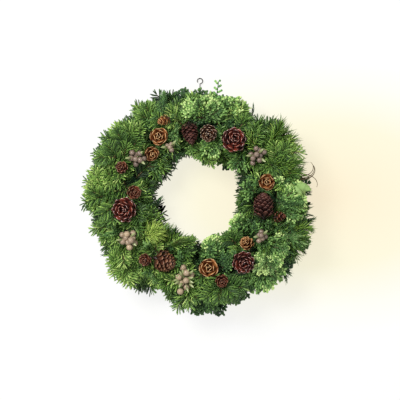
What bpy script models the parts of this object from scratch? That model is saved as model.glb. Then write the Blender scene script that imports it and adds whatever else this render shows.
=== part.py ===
"""A fresh evergreen wreath: greenery, cones and brunia berries stuck into a ring of floral foam."""

import math
from collections import namedtuple

import bmesh
import bpy
from mathutils import Matrix, Vector

# Driving dimensions in metres. The wreath lies on its back: the ring's axis is Z, its display side
# faces up, and its top is at +Y.
GAP = 0.0003
RING_SEGMENTS = 42

TRAY_INNER = 0.092
TRAY_OUTER = 0.141
TRAY_HEIGHT = 0.015
TRAY_WALL = 0.0015

FOAM_INNER = 0.094
FOAM_OUTER = 0.139
FOAM_SHOULDER = 0.028
FOAM_TOP = 0.042

STEM_RADIUS = 0.0016
STEM_SIDES = 6
STEM_DEPTH = 0.016

PICK_RADIUS = 0.0009
PICK_BOTTOM = 0.026
PICK_MARGIN = 0.011

LOBE_SIDES = 10
LOBE_RINGS = 6
CONE_SIDES = 10
CLEARANCE = 0.0012

# Each row of greenery: how many bunches, the angle of the first, where the lobe's middle is (radius
# and height), the lobe's half sizes (along its stem, across it, through it) and the stem's rise.
ROWS = {
    "outer_low": {
        "count": 12, "first": 15.0, "radius": 0.1675, "height": 0.0175,
        "half_size": (0.0260, 0.0410, 0.0145), "rise": 0.0,
    },
    "outer_high": {
        "count": 11, "first": 2.0, "radius": 0.158, "height": 0.0525,
        "half_size": (0.0240, 0.0420, 0.0130), "rise": 36.0,
    },
    "inner": {
        "count": 10, "first": 12.0, "radius": 0.083, "height": 0.0350,
        "half_size": (0.0085, 0.0235, 0.0290), "rise": 0.0,
    },
}
INNER_STEM_HEIGHT = 0.026

# Each cone: its angle round the ring in degrees, then its distance from the ring's centre, its width,
# its length and the height of its middle in millimetres. Lean tips its axis from upright towards the
# heading, both in degrees, and the heading is counted from straight outwards.
Cone = namedtuple("Cone", "angle at width length height lean heading", defaults=(0, 0))
CONES = {
    "cone_rose_left": Cone(122.8, 124, 29, 18, 66),
    "cone_rose_far_left": Cone(136.2, 108.5, 24.5, 18, 62, lean=25, heading=180),
    "cone_golden_rimmed": Cone(114.6, 142, 17, 22, 75, lean=90, heading=90),
    "cone_small_left": Cone(157.3, 139, 20, 17, 71, lean=20),
    "cone_red_left": Cone(173.4, 107.5, 23, 20, 66, lean=20, heading=180),
    "cone_open_left": Cone(187.3, 126, 41, 34, 72, lean=12),
    "cone_small_bottom_left": Cone(227.4, 133.5, 21, 18, 71, lean=25),
    "cone_lying_bottom_left": Cone(240, 117, 34, 38, 70, lean=90, heading=100),
    "cone_rose_bottom": Cone(277.3, 112, 31, 18, 65),
    "cone_small_bottom": Cone(285, 138, 22, 19, 72, lean=25),
    "cone_open_bottom_right": Cone(304.8, 125, 37, 32, 70, lean=10),
    "cone_golden_scaled": Cone(317.3, 102, 22, 25, 67, lean=40, heading=180),
    "cone_small_right": Cone(348.2, 132, 19, 22, 70, lean=80, heading=20),
    "cone_dark_right": Cone(354.6, 104, 33, 44, 69, lean=90, heading=95),
    "cone_rose_right": Cone(15, 113, 27, 18, 65, lean=10),
    "cone_open_top_right": Cone(60.8, 113.5, 41, 33, 71, lean=10),
    "cone_frosted_top": Cone(82.7, 108, 28, 28, 71, lean=20, heading=180),
    "cone_dark_top": Cone(98, 111, 27, 38, 67, lean=85, heading=180),
}
# A cone's outline from foot to tip, as shares of its width and of its length.
CONE_OUTLINE = ((0.30, 0.0), (0.85, 0.16), (1.0, 0.40), (0.78, 0.72), (0.34, 1.0))

# Each berry sprig: its angle, then its distance from the centre and its head's half size outwards in
# millimetres, how many berries it has, how wide one is, and how broad the head is along the ring
# against its size outwards.
Sprig = namedtuple("Sprig", "angle at head count berry breadth", defaults=(1.0,))
BERRIES = {
    "berries_left": Sprig(146.5, 125, 13.5, 8, 10),
    "berries_top_left": Sprig(119, 98.5, 7, 4, 8.5),
    "berries_right": Sprig(37.8, 118, 17, 9, 9.5, breadth=0.75),
    "berries_bottom_left": Sprig(209.3, 133, 15, 10, 11),
    "berries_bottom": Sprig(259, 133, 24, 8, 11, breadth=0.6),
    "berries_bottom_right": Sprig(328.8, 117, 9.5, 6, 9),
}
BERRY_BRANCHING = 0.052
BERRY_TOP = 0.078
BERRY_STEP = 0.005
BERRY_STEM_RADIUS = 0.0012
STALK_RADIUS = 0.0009
STALK_SIDES = 5

# The hanger leaves the foam between two bunches at the top, dips to the back and ends in an eye.
HANGER_WIRE = 0.0009
HANGER_HEIGHT = 0.0185
HANGER_STRAIGHT = 0.004
HANGER_BACK = 0.0024
HANGER_EYE = 0.0045
HANGER_EYE_TURN = 300
HANGER_REACH = 0.2035

GREENS = {
    "fir": (0.035, 0.120, 0.035),
    "cypress": (0.110, 0.210, 0.090),
    "lime": (0.200, 0.330, 0.070),
}
# Which greenery grows up to each angle, counted from +X towards +Y.
SPECIES_BY_ANGLE = (
    (70, "lime"), (110, "cypress"), (235, "fir"), (290, "cypress"), (330, "lime"), (360, "cypress"),
)


def clear_scene():
    for obj in list(bpy.data.objects):
        bpy.data.objects.remove(obj, do_unlink=True)


def new_collection(name):
    collection = bpy.data.collections.new(name)
    bpy.context.scene.collection.children.link(collection)
    return collection


def paint(obj, colour, roughness=0.7, metallic=0.0):
    material = bpy.data.materials.new(obj.name)
    material.use_nodes = True
    shader = material.node_tree.nodes["Principled BSDF"]
    shader.inputs["Base Color"].default_value = (*colour, 1.0)
    shader.inputs["Roughness"].default_value = roughness
    shader.inputs["Metallic"].default_value = metallic
    obj.data.materials.clear()
    obj.data.materials.append(material)


def mesh_object(name, bm, collection):
    bmesh.ops.recalc_face_normals(bm, faces=bm.faces)
    mesh = bpy.data.meshes.new(name)
    bm.to_mesh(mesh)
    bm.free()
    obj = bpy.data.objects.new(name, mesh)
    collection.objects.link(obj)
    mesh.shade_smooth()
    return obj


def on_ring(degrees, radius, height):
    turn = math.radians(degrees)
    return Vector((radius * math.cos(turn), radius * math.sin(turn), height))


def ring_axes(degrees):
    """The outward and the sideways direction at an angle round the ring."""
    turn = math.radians(degrees)
    outward = Vector((math.cos(turn), math.sin(turn), 0.0))
    sideways = Vector((-math.sin(turn), math.cos(turn), 0.0))
    return outward, sideways


def placed(x_axis, y_axis, z_axis, origin):
    matrix = Matrix((x_axis, y_axis, z_axis)).transposed().to_4x4()
    matrix.translation = origin
    return matrix


def add_rod(bm, start, end, radius, sides=STEM_SIDES):
    along = end - start
    matrix = Matrix.Translation((start + end) / 2) @ along.to_track_quat("Z", "Y").to_matrix().to_4x4()
    bmesh.ops.create_cone(
        bm, cap_ends=True, segments=sides, radius1=radius, radius2=radius, depth=along.length, matrix=matrix
    )


def rod_room(name, start, end, radius, cutters):
    room = bmesh.new()
    add_rod(room, start, end, radius)
    return mesh_object(name, room, cutters)


def turned(name, profile, collection):
    """A ring turned round Z from a closed outline of (radius, height) points."""
    bm = bmesh.new()
    points = [bm.verts.new((radius, 0.0, height)) for radius, height in profile]
    for start, end in zip(points, points[1:] + points[:1]):
        bm.edges.new((start, end))
    mesh = bpy.data.meshes.new(name)
    bm.to_mesh(mesh)
    bm.free()
    obj = bpy.data.objects.new(name, mesh)
    collection.objects.link(obj)
    screw = obj.modifiers.new("Turn", "SCREW")
    screw.steps = RING_SEGMENTS
    screw.render_steps = RING_SEGMENTS
    screw.use_merge_vertices = True
    screw.merge_threshold = 0.00001
    return obj


def boolean(obj, other, operation):
    modifier = obj.modifiers.new(operation.title(), "BOOLEAN")
    modifier.operation = operation
    modifier.object = other
    modifier.solver = "EXACT"


def fused(name, pieces, collection):
    """One closed body from overlapping pieces, which it uses up."""
    first = pieces[0]
    for other in pieces[1:]:
        boolean(first, other, "UNION")
    graph = bpy.context.evaluated_depsgraph_get()
    mesh = bpy.data.meshes.new_from_object(first.evaluated_get(graph))
    mesh.name = name
    for piece in pieces:
        bpy.data.objects.remove(piece, do_unlink=True)
    obj = bpy.data.objects.new(name, mesh)
    collection.objects.link(obj)
    return obj


def make_tray(collection):
    profile = [
        (TRAY_OUTER, TRAY_HEIGHT),
        (TRAY_OUTER, 0.0),
        (TRAY_INNER, 0.0),
        (TRAY_INNER, TRAY_HEIGHT),
        (TRAY_INNER + TRAY_WALL, TRAY_HEIGHT),
        (TRAY_INNER + TRAY_WALL, TRAY_WALL),
        (TRAY_OUTER - TRAY_WALL, TRAY_WALL),
        (TRAY_OUTER - TRAY_WALL, TRAY_HEIGHT),
    ]
    tray = turned("tray", profile, collection)
    paint(tray, (0.02, 0.07, 0.03), 0.45)
    return tray


def make_foam(collection):
    """The foam ring, sitting in the tray, with its upper edges rounded off in two steps."""
    chamfer = 0.005
    crown = 3 * chamfer
    neck = (FOAM_SHOULDER * 2 + FOAM_TOP * 5) / 7
    profile = [
        (FOAM_OUTER - crown, FOAM_TOP),
        (FOAM_OUTER - chamfer, neck),
        (FOAM_OUTER, FOAM_SHOULDER),
        (FOAM_OUTER, TRAY_WALL + GAP),
        (FOAM_INNER, TRAY_WALL + GAP),
        (FOAM_INNER, FOAM_SHOULDER),
        (FOAM_INNER + chamfer, neck),
        (FOAM_INNER + crown, FOAM_TOP),
    ]
    foam = turned("foam_ring", profile, collection)
    paint(foam, (0.03, 0.10, 0.04), 0.95)
    return foam


def species_at(degrees):
    return next(name for limit, name in SPECIES_BY_ANGLE if degrees % 360 < limit)


def make_bunch(name, row, degrees, stems, collection):
    """A bunch's greenery as one lobe, with the stem that holds it in the foam."""
    rise = math.radians(row["rise"])
    outward, sideways = ring_axes(degrees)
    along = outward * math.cos(rise) + Vector((0, 0, math.sin(rise)))
    through = along.cross(sideways)
    middle = on_ring(degrees, row["radius"], row["height"])
    frame = placed(along, sideways, through, middle)
    lobe = bmesh.new()
    shape = frame @ Matrix.Diagonal((*row["half_size"], 1.0))
    bmesh.ops.create_uvsphere(lobe, u_segments=LOBE_SIDES, v_segments=LOBE_RINGS, radius=1.0, matrix=shape)
    if row["radius"] < FOAM_INNER:
        start = on_ring(degrees, row["radius"], INNER_STEM_HEIGHT)
        end = on_ring(degrees, FOAM_INNER + STEM_DEPTH, INNER_STEM_HEIGHT)
    else:
        start = middle
        end = middle - along * ((row["radius"] - FOAM_OUTER + STEM_DEPTH) / math.cos(rise))
    stem = bmesh.new()
    add_rod(stem, start, end, STEM_RADIUS)
    stems.append((start, end, STEM_RADIUS))
    pieces = [mesh_object("lobe", lobe, collection), mesh_object("stem", stem, collection)]
    bunch = fused(name, pieces, collection)
    paint(bunch, GREENS[species_at(degrees)], 0.8)
    return bunch


def make_greenery(stems, collection):
    bunches = []
    for kind, row in ROWS.items():
        for index in range(row["count"]):
            degrees = row["first"] + index * 360.0 / row["count"]
            name = f"bunch_{kind}_{index + 1:02d}"
            bunches.append(make_bunch(name, row, degrees, stems, collection))
    return bunches


def cone_shape(frame, width, length, swell=0.0):
    """A cone as a turned body: widest below its middle, narrowing to its tip."""
    bm = bmesh.new()
    rings = []
    for wide, tall in CONE_OUTLINE:
        radius = wide * width / 2 + swell
        height = (tall - 0.5) * (length + 2 * swell)
        ring = []
        for side in range(CONE_SIDES):
            turn = 2 * math.pi * side / CONE_SIDES
            point = Vector((radius * math.cos(turn), radius * math.sin(turn), height))
            ring.append(bm.verts.new(frame @ point))
        rings.append(ring)
    for lower, upper in zip(rings, rings[1:]):
        for side in range(CONE_SIDES):
            after = (side + 1) % CONE_SIDES
            bm.faces.new((lower[side], lower[after], upper[after], upper[side]))
    bm.faces.new(list(reversed(rings[0])))
    bm.faces.new(rings[-1])
    return bm


def cone_frame(cone):
    outward, sideways = ring_axes(cone.angle)
    heading = math.radians(cone.heading)
    lean = math.radians(cone.lean)
    towards = outward * math.cos(heading) + sideways * math.sin(heading)
    axis = Vector((0, 0, math.cos(lean))) + towards * math.sin(lean)
    across = Vector((0, 0, 1)).cross(towards)
    middle = on_ring(cone.angle, cone.at / 1000, cone.height / 1000)
    return placed(across.cross(axis), across, axis, middle)


def pick_foot(degrees, distance):
    """Where a pick ends: in the foam, and clear of the foam's edges."""
    inside = min(max(distance, FOAM_INNER + PICK_MARGIN), FOAM_OUTER - PICK_MARGIN)
    return on_ring(degrees, inside, PICK_BOTTOM)


def make_cone(name, cone, stems, rooms, collection, cutters):
    width = cone.width / 1000
    length = cone.length / 1000
    frame = cone_frame(cone)
    body = mesh_object("cone_body", cone_shape(frame, width, length), collection)
    start = frame.translation
    end = pick_foot(cone.angle, cone.at / 1000)
    pick = bmesh.new()
    add_rod(pick, start, end, PICK_RADIUS)
    stems.append((start, end, PICK_RADIUS))
    obj = fused(name, [body, mesh_object("pick", pick, collection)], collection)
    paint(obj, (0.14, 0.045, 0.022), 0.45)
    rooms.append(mesh_object(f"{name}_room", cone_shape(frame, width, length, CLEARANCE), cutters))
    rooms.append(rod_room(f"{name}_pick_room", start, end, PICK_RADIUS + CLEARANCE, cutters))
    return obj


def berry_places(sprig):
    """A dome of points, one turned from the last by the golden angle, every second one a step lower."""
    outward, sideways = ring_axes(sprig.angle)
    golden = math.pi * (3 - math.sqrt(5))
    middle = on_ring(sprig.angle, sprig.at / 1000, BERRY_TOP)
    places = []
    for index in range(sprig.count):
        spread = math.sqrt((index + 0.35) / sprig.count)
        turn = index * golden
        reach = spread * sprig.head / 1000
        side = sideways * reach * math.cos(turn) * sprig.breadth
        drop = 0.3 * spread * reach + BERRY_STEP * (index % 2)
        places.append(middle + side + outward * reach * math.sin(turn) - Vector((0, 0, drop)))
    return places


def make_berries(name, sprig, stems, rooms, collection, cutters):
    radius = sprig.berry / 2000
    end = pick_foot(sprig.angle, sprig.at / 1000)
    fork = on_ring(sprig.angle, (sprig.at / 1000 + end.to_2d().length) / 2, BERRY_BRANCHING)
    stem = bmesh.new()
    add_rod(stem, fork, end, BERRY_STEM_RADIUS)
    stems.append((fork, end, BERRY_STEM_RADIUS))
    pieces = [mesh_object("stem", stem, collection)]
    places = berry_places(sprig)
    for place in places:
        stalk = bmesh.new()
        add_rod(stalk, fork - Vector((0, 0, STALK_RADIUS)), place, STALK_RADIUS, STALK_SIDES)
        pieces.append(mesh_object("stalk", stalk, collection))
        berry = bmesh.new()
        centre = Matrix.Translation(place)
        bmesh.ops.create_uvsphere(berry, u_segments=6, v_segments=4, radius=radius, matrix=centre)
        pieces.append(mesh_object("berry", berry, collection))
    sprig_object = fused(name, pieces, collection)
    paint(sprig_object, (0.42, 0.33, 0.28), 0.55)
    outward, sideways = ring_axes(sprig.angle)
    middle = sum(places, Vector()) / len(places)
    reach = sprig.head / 1000 + radius + CLEARANCE
    breadth = sprig.head / 1000 * sprig.breadth + radius + CLEARANCE
    depth = min(reach, breadth)
    frame = placed(outward, sideways, Vector((0, 0, 1)), middle)
    shape = frame @ Matrix.Diagonal((reach, breadth, depth, 1.0))
    room = bmesh.new()
    bmesh.ops.create_uvsphere(room, u_segments=12, v_segments=6, radius=1.0, matrix=shape)
    rooms.append(mesh_object(f"{name}_room", room, cutters))
    rooms.append(rod_room(f"{name}_stem_room", middle, end, BERRY_STEM_RADIUS + CLEARANCE, cutters))
    return sprig_object


def make_hanger(stems, collection):
    """One stiff wire, lying over the back of the greenery at the top, with an open eye at its end."""
    start = Vector((0, FOAM_OUTER - STEM_DEPTH, HANGER_HEIGHT))
    straight_end = Vector((0, TRAY_OUTER + HANGER_STRAIGHT, HANGER_HEIGHT))
    centre = Vector((0, HANGER_REACH - HANGER_EYE, HANGER_BACK))
    eye_start = centre - Vector((0, HANGER_EYE, 0))
    route = [start, straight_end]
    dip_steps = 8
    for step in range(1, dip_steps):
        share = step / dip_steps
        ease = 0.5 - 0.5 * math.cos(math.pi * share)
        height = HANGER_HEIGHT + (HANGER_BACK - HANGER_HEIGHT) * ease
        route.append(Vector((0, straight_end.y + (eye_start.y - straight_end.y) * share, height)))
    eye_steps = 14
    for step in range(eye_steps + 1):
        turn = math.radians(-90 + HANGER_EYE_TURN * step / eye_steps)
        route.append(centre + Vector((math.cos(turn), math.sin(turn), 0)) * HANGER_EYE)
    curve = bpy.data.curves.new("hanging_wire", "CURVE")
    curve.dimensions = "3D"
    curve.bevel_depth = HANGER_WIRE
    curve.bevel_resolution = 2
    curve.use_fill_caps = True
    spline = curve.splines.new("POLY")
    spline.points.add(len(route) - 1)
    for point, place in zip(spline.points, route):
        point.co = (*place, 1.0)
    wire = bpy.data.objects.new("hanging_wire", curve)
    collection.objects.link(wire)
    paint(wire, (0.09, 0.09, 0.085), 0.5, 0.8)
    stems.append((start, straight_end, HANGER_WIRE))
    return wire


def cut_stem_holes(foam, stems, cutters):
    """A hole in the foam for each stem, wider by the gap on every side of it."""
    widening = 1 / math.cos(math.pi / STEM_SIDES)
    for index, (start, end, radius) in enumerate(stems):
        beyond = (end - start).normalized() * GAP
        name = f"stem_hole_{index + 1:02d}"
        hole = rod_room(name, start, end + beyond, radius * widening + GAP, cutters)
        boolean(foam, hole, "DIFFERENCE")


def bounds_of(objects):
    graph = bpy.context.evaluated_depsgraph_get()
    points = []
    for obj in objects:
        evaluated = obj.evaluated_get(graph)
        mesh = evaluated.to_mesh()
        points += [evaluated.matrix_world @ vertex.co for vertex in mesh.vertices]
        evaluated.to_mesh_clear()
    low = Vector([min(point[axis] for point in points) for axis in range(3)])
    high = Vector([max(point[axis] for point in points) for axis in range(3)])
    return low, high


def make_room(bunches, rooms):
    """Cuts each bunch back where a cone or a berry sprig sits among it."""
    for bunch in bunches:
        low, high = bounds_of([bunch])
        for room in rooms:
            room_low, room_high = bounds_of([room])
            if all(low[axis] < room_high[axis] and room_low[axis] < high[axis] for axis in range(3)):
                boolean(bunch, room, "DIFFERENCE")


def stand_on_origin(parts, cutters):
    """Puts the middle of the whole outline over the origin, and the back on it."""
    low, high = bounds_of(parts)
    anchor = bpy.data.objects.new("wreath_origin", None)
    bpy.context.scene.collection.objects.link(anchor)
    for obj in [*parts, *cutters]:
        obj.parent = anchor
    anchor.location = (-(low.x + high.x) / 2, -(low.y + high.y) / 2, -low.z)


def build():
    clear_scene()
    parts = new_collection("fresh_evergreen_wreath")
    cutters = new_collection("cutters")
    stems = []
    rooms = []
    make_tray(parts)
    foam = make_foam(parts)
    make_hanger(stems, parts)
    bunches = make_greenery(stems, parts)
    for name, cone in CONES.items():
        make_cone(name, cone, stems, rooms, parts, cutters)
    for name, sprig in BERRIES.items():
        make_berries(name, sprig, stems, rooms, parts, cutters)
    cut_stem_holes(foam, stems, cutters)
    make_room(bunches, rooms)
    bpy.context.view_layer.update()
    stand_on_origin(list(parts.objects), list(cutters.objects))
    for cutter in cutters.objects:
        cutter.hide_render = True
        cutter.display_type = "WIRE"


build()
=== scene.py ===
import math

import bpy
import numpy as np
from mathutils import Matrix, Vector


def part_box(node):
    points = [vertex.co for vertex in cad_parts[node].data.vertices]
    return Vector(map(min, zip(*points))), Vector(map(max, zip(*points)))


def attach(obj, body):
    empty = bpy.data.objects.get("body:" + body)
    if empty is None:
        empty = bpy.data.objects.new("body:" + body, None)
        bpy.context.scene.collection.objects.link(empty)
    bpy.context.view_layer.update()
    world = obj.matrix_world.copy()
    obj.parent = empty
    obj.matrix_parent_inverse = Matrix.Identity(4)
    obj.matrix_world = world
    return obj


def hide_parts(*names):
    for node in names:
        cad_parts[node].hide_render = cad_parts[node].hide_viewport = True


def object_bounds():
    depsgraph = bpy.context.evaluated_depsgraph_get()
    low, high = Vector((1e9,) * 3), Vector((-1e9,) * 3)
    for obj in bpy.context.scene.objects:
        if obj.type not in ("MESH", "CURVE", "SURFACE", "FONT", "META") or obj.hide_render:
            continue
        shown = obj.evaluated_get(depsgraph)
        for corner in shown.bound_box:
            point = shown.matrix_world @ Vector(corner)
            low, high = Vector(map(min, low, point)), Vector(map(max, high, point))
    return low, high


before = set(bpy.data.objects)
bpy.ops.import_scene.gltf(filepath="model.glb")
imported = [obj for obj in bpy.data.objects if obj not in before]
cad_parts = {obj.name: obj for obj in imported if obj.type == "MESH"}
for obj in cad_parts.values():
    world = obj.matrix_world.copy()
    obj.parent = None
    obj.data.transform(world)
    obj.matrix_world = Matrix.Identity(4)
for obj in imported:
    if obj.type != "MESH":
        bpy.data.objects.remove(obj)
cadLow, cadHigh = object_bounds()

# the ring's middle on the table, the foam's top, and how far the part reaches
trayLow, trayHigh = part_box("tray")
ringMiddle = Vector(((trayLow.x + trayHigh.x) / 2, (trayLow.y + trayHigh.y) / 2, 0.0))
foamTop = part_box("foam_ring")[1].z
cadReach = (cadHigh.x - cadLow.x) / 2
chance = np.random.default_rng(24)
goldenAngle = math.pi * (3 - math.sqrt(5))
upright = np.array((0.0, 0.0, 1.0))


def deselectAll():
    if bpy.context.object and bpy.context.object.mode != "OBJECT":
        bpy.ops.object.mode_set(mode="OBJECT")
    bpy.ops.object.select_all(action="DESELECT")


def outwardAt(degrees):
    turn = math.radians(degrees)
    return Vector((math.cos(turn), math.sin(turn), 0.0))


def sidewaysAt(degrees):
    turn = math.radians(degrees)
    return Vector((-math.sin(turn), math.cos(turn), 0.0))


def onRing(degrees, radius, height):
    return ringMiddle + outwardAt(degrees) * radius + Vector((0.0, 0.0, height))


def cadPoints(node):
    return np.array([vertex.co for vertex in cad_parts[node].data.vertices])


def takenShape(shape):
    # keeps a modelled shape's points and triangles, and clears the object away
    points = np.array([vertex.co for vertex in shape.data.vertices])
    faces = np.array([list(face.vertices) for face in shape.data.polygons])
    bpy.data.objects.remove(shape, do_unlink=True)
    return {"points": points, "faces": faces}


# small shapes, each modelled once along +Z from 0 to 1 and then grown by the thousand
def grownShape(name, sides, sections, flat=0.4):
    # a little closed blade: a ring of points, extruded section by section and drawn to a point
    deselectAll()
    bpy.ops.mesh.primitive_circle_add(vertices=sides, radius=0.5 * sections[0][1], fill_type="NGON")
    shape = bpy.context.object
    shape.name = name
    bpy.ops.object.mode_set(mode="EDIT")
    bpy.ops.mesh.select_all(action="SELECT")
    before = sections[0]
    for along, wide in sections[1:]:
        bpy.ops.mesh.extrude_region_move(TRANSFORM_OT_translate={"value": (0, 0, along - before[0])})
        grow = wide / before[1]
        bpy.ops.transform.resize(value=(grow, grow, 1), center_override=(0, 0, along))
        before = (along, wide)
    bpy.ops.mesh.extrude_region_move(TRANSFORM_OT_translate={"value": (0, 0, 1 - before[0])})
    bpy.ops.mesh.merge(type="CENTER")
    bpy.ops.mesh.select_all(action="SELECT")
    bpy.ops.transform.resize(value=(1, flat, 1), center_override=(0, 0, 0))
    bpy.ops.mesh.normals_make_consistent(inside=False)
    bpy.ops.mesh.quads_convert_to_tris()
    bpy.ops.object.mode_set(mode="OBJECT")
    return takenShape(shape)


woodyScale = {
    "rows": (0.25, 0.5, 0.72, 0.9), "columns": (-0.25, 0.0, 0.25),
    "footWidth": 0.34, "widening": 0.95, "widest": 2.6, "rounding": 0.26,
    "footThick": 0.05, "rimThick": 0.075, "rimFrom": 0.6, "hollow": 0.16,
}


def scaleShape():
    # a woody cone scale: a thin plate, broad near its rounded end, thick at the rim and hollow inside
    deselectAll()
    bpy.ops.mesh.primitive_cube_add(size=1, location=(0, 0, 0.5))
    bpy.ops.object.transform_apply(location=True, rotation=False, scale=False)
    shape = bpy.context.object
    shape.name = "coneScale"
    bpy.ops.object.mode_set(mode="EDIT")
    bpy.ops.mesh.select_all(action="SELECT")
    for height in woodyScale["rows"]:
        bpy.ops.mesh.select_all(action="SELECT")
        bpy.ops.mesh.bisect(plane_co=(0, 0, height), plane_no=(0, 0, 1))
    for across in woodyScale["columns"]:
        bpy.ops.mesh.select_all(action="SELECT")
        bpy.ops.mesh.bisect(plane_co=(across, 0, 0), plane_no=(1, 0, 0))
    bpy.ops.mesh.select_all(action="SELECT")
    bpy.ops.mesh.quads_convert_to_tris()
    bpy.ops.object.mode_set(mode="OBJECT")
    for vertex in shape.data.vertices:
        along = max(0.0, vertex.co.z)
        across = vertex.co.x * 2
        wide = woodyScale["footWidth"] + woodyScale["widening"] * along ** 1.1
        rounded = woodyScale["rounding"] * across * across * along ** 3
        atRim = max(0.0, along - woodyScale["rimFrom"]) / (1 - woodyScale["rimFrom"])
        thick = woodyScale["footThick"] + woodyScale["rimThick"] * atRim
        vertex.co.x = across * wide / woodyScale["widest"]
        vertex.co.z = along - rounded
        cupped = woodyScale["hollow"] * across * across * along
        vertex.co.y = (thick if vertex.co.y > 0 else -thick) - cupped
    return takenShape(shape)


# each shape's number of sides, its sections (how far along, how wide) and how flat it is
shapeSections = {
    "firNeedle": (3, [(0.0, 0.5), (0.14, 0.95), (0.84, 0.95)], 0.45),
    "longNeedle": (3, [(0.0, 0.7), (0.5, 1.0)], 0.8),
    "spine": (3, [(0.0, 1.0), (0.35, 0.95)], 0.7),
    "finger": (4, [(0.0, 0.55), (0.35, 1.0), (0.84, 0.9)], 0.6),
    "stick": (5, [(0.0, 1.0), (0.96, 0.8)], 1.0),
    "floret": (5, [(0.0, 0.9), (0.5, 1.1), (0.88, 0.6)], 1.0),
    "ball": (12, [(0.0, 0.36), (0.07, 0.56), (0.24, 0.87), (0.5, 1.0), (0.76, 0.87), (0.93, 0.56)], 1.0),
    "leaf": (6, [(0.0, 0.08), (0.1, 0.34), (0.3, 0.9), (0.5, 1.0), (0.72, 0.78), (0.9, 0.34)], 0.10),
}
shapes = {name: grownShape(name, *measures) for name, measures in shapeSections.items()}
shapes["scale"] = scaleShape()
print("small shapes modelled")


def unit(vectors):
    vectors = np.asarray(vectors, float)
    return vectors / np.maximum(np.linalg.norm(vectors, axis=-1, keepdims=True), 1e-9)


class Growth:
    # what grows on one piece: arrays of blades, each with a place, a direction and a face
    def __init__(self):
        self.batches = []

    def add(self, shape, base, along, face, length, width, thick, tint, bend=0.0):
        base = np.atleast_2d(np.asarray(base, float))
        count = len(base)
        along = unit(np.broadcast_to(np.asarray(along, float), (count, 3)))
        face = np.broadcast_to(np.asarray(face, float), (count, 3))
        side = unit(np.cross(along, face))
        face = np.cross(side, along)
        measures = (length, width, thick, tint, bend)
        numbers = [np.broadcast_to(np.asarray(value, float), (count,)) for value in measures]
        self.batches.append((shape, base, along, side, face, *numbers))

    def mesh(self, name, lowest=None):
        allPoints, allFaces, allUv, first = [], [], [], 0
        for shape, base, along, side, face, length, width, thick, tint, bend in self.batches:
            points, faces = shapes[shape]["points"], shapes[shape]["faces"]
            x, y, z = points[:, 0], points[:, 1], points[:, 2]
            made = base[:, None, :] + along[:, None, :] * (z[None, :, None] * length[:, None, None])
            made = made + side[:, None, :] * (x[None, :, None] * width[:, None, None])
            lift = y[None, :] * thick[:, None] + bend[:, None] * z[None, :] ** 2 * length[:, None]
            made = made + face[:, None, :] * lift[:, :, None]
            count, size = len(base), len(points)
            corners = faces[None] + (first + np.arange(count) * size)[:, None, None]
            u = np.broadcast_to(np.clip(z, 0.01, 0.99)[None], (count, size))
            v = np.clip(tint, 0.01, 0.98)[:, None] + x[None] * 0.008
            allPoints.append(made.reshape(-1, 3))
            allFaces.append(corners.reshape(-1, faces.shape[1]))
            allUv.append(np.stack([u, v], -1).reshape(-1, 2))
            first += count * size
        points = np.concatenate(allPoints)
        faces = np.concatenate(allFaces)
        uv = np.concatenate(allUv)
        if lowest is not None:
            points[:, 2] = np.maximum(points[:, 2], lowest)
        mesh = bpy.data.meshes.new(name)
        mesh.vertices.add(len(points))
        mesh.vertices.foreach_set("co", points.astype(np.float32).ravel())
        mesh.loops.add(faces.size)
        mesh.loops.foreach_set("vertex_index", faces.astype(np.int32).ravel())
        mesh.polygons.add(len(faces))
        mesh.polygons.foreach_set("loop_start", np.arange(0, faces.size, 3, dtype=np.int32))
        layer = mesh.uv_layers.new(name="OFBake")
        layer.data.foreach_set("uv", uv[faces.ravel()].astype(np.float32).ravel())
        mesh.update(calc_edges=True)
        mesh.validate()
        mesh.shade_smooth()
        obj = bpy.data.objects.new(name, mesh)
        bpy.context.scene.collection.objects.link(obj)
        return obj


# materials, all coloured along the blade (u) and from blade to blade (v)
def newMaterial(name, roughness):
    material = bpy.data.materials.new(name)
    material.use_nodes = True
    shader = material.node_tree.nodes["Principled BSDF"]
    shader.inputs["Roughness"].default_value = roughness
    return material, material.node_tree.nodes, material.node_tree.links, shader


def ramp(nodes, stops):
    node = nodes.new("ShaderNodeValToRGB")
    node.color_ramp.elements[0].position = stops[0][0]
    node.color_ramp.elements[0].color = (*stops[0][1], 1)
    node.color_ramp.elements[1].position = stops[-1][0]
    node.color_ramp.elements[1].color = (*stops[-1][1], 1)
    for position, colour in stops[1:-1]:
        node.color_ramp.elements.new(position).color = (*colour, 1)
    return node


def multiplied(nodes, links, first, second):
    node = nodes.new("ShaderNodeMix")
    node.data_type = "RGBA"
    node.blend_type = "MULTIPLY"
    node.inputs["Factor"].default_value = 1.0
    links.new(first, node.inputs["A"])
    links.new(second, node.inputs["B"])
    return node.outputs["Result"]


# the mottling that every blade has: how fine, how detailed, how dark and how light
mottling = {"scale": 38, "detail": 5, "shades": [(0.3, (0.74, 0.74, 0.74)), (0.7, (1.16, 1.16, 1.16))]}


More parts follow.
